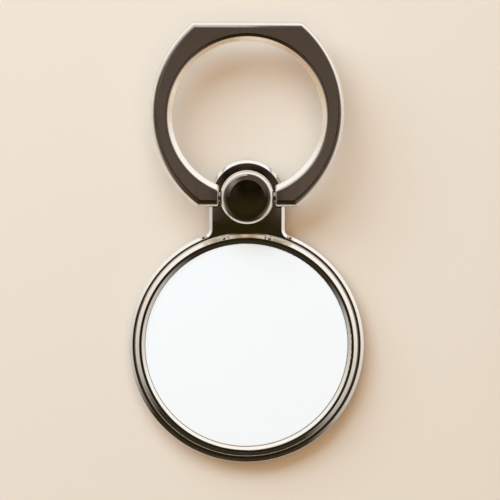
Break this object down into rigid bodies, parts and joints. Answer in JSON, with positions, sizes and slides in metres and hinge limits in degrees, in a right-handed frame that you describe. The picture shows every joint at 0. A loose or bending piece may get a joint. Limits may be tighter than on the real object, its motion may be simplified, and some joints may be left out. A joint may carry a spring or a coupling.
{
  "type": "phone ring holder",
  "caption": "Polished metal phone ring holder: stick-on round plate with a plain white face, swivel hub on a short neck, and a flat-fronted finger ring that flips up as a grip or stand.",
  "frame": {"origin": "centre of the stuck-on face, on the underside of the adhesive pad", "axes": "+Z away from the surface it is stuck to, +Y from the round plate to the finger ring, +X across the hinge pin"},
  "size_m": [0.035, 0.0654, 0.0072],
  "materials": {
    "polished_plating": "polished",
    "ring_plating": "polished",
    "white_face": "gloss",
    "foam_adhesive": "matte",
    "bare_steel": "satin",
    "gasket_plastic": "matte"
  },
  "bodies": {
    "base": {"base_plate": "polished_plating", "face_insert": "white_face", "adhesive_pad": "foam_adhesive", "swivel_gasket": "gasket_plastic"},
    "hub": {"swivel_hub": "polished_plating", "swivel_rivet": "bare_steel", "spring_washer": "bare_steel"},
    "ring": {"finger_ring": "ring_plating", "hinge_pin": "bare_steel"}
  },
  "joints": [
    {"name": "hub_swivel", "type": "hinge", "parent": "base", "child": "hub", "pos_m": [0, 0.02195, 0.0028], "axis": [0, 0, 1], "continuous": true},
    {"name": "ring_flip", "type": "hinge", "parent": "hub", "child": "ring", "pos_m": [0, 0.02195, 0.0054], "axis": [1, 0, 0], "range_deg": [0, 180]}
  ]
}
